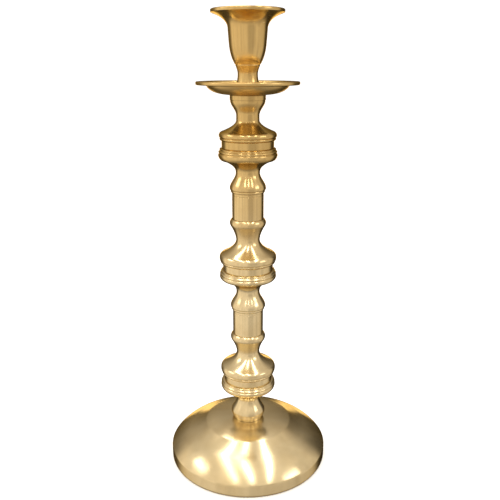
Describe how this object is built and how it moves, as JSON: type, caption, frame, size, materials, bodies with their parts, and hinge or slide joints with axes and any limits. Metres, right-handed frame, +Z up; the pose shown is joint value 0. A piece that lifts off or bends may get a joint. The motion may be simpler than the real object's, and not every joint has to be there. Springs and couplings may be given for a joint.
{
  "type": "altar candlestick",
  "caption": "Tall turned brass altar candlestick on a round domed foot, with a knopped stem, a drip pan and a bell-shaped candle cup that unscrews.",
  "frame": {"origin": "centre of the foot, on the surface that the candlestick stands on", "axes": "+Z up the stem to the candle cup; every piece is turned about Z, so +X and +Y are free"},
  "size_m": [0.1452, 0.1452, 0.4],
  "materials": {
    "base_brass": "satin, turned",
    "stem_brass": "satin, turned",
    "tube_brass": "satin, drawn",
    "pan_brass": "satin, turned",
    "cup_brass": "satin, turned",
    "rod_steel": "zinc-plated thread",
    "hardware_steel": "zinc-plated"
  },
  "bodies": {
    "stem": {"base": "base_brass", "lower_casting_1": "stem_brass", "lower_casting_2": "stem_brass", "lower_casting_3": "stem_brass", "knop_band_1": "stem_brass", "knop_band_2": "stem_brass", "knop_band_3": "stem_brass", "upper_casting_1": "stem_brass", "upper_casting_2": "stem_brass", "upper_casting_3": "stem_brass", "column_tube_1": "tube_brass", "column_tube_2": "tube_brass", "tie_rod": "rod_steel", "stem_nut": "hardware_steel", "stem_washer": "hardware_steel", "base_washer": "hardware_steel", "lock_washer": "hardware_steel", "base_nut": "hardware_steel"},
    "drip_pan": {"drip_pan": "pan_brass"},
    "candle_cup": {"candle_cup": "cup_brass"}
  },
  "joints": [
    {"name": "cup_rise", "type": "slide", "parent": "stem", "child": "drip_pan", "axis": [0, 0, 1], "range_m": [0, 0.01]},
    {"name": "cup_turn", "type": "hinge", "parent": "drip_pan", "child": "candle_cup", "pos_m": [0, 0, 0.337], "axis": [0, 0, 1], "range_deg": [0, 2880]}
  ],
  "couplings": [
    {"joint": "cup_turn", "follows": "cup_rise", "rad_per_m": 5026.5}
  ]
}
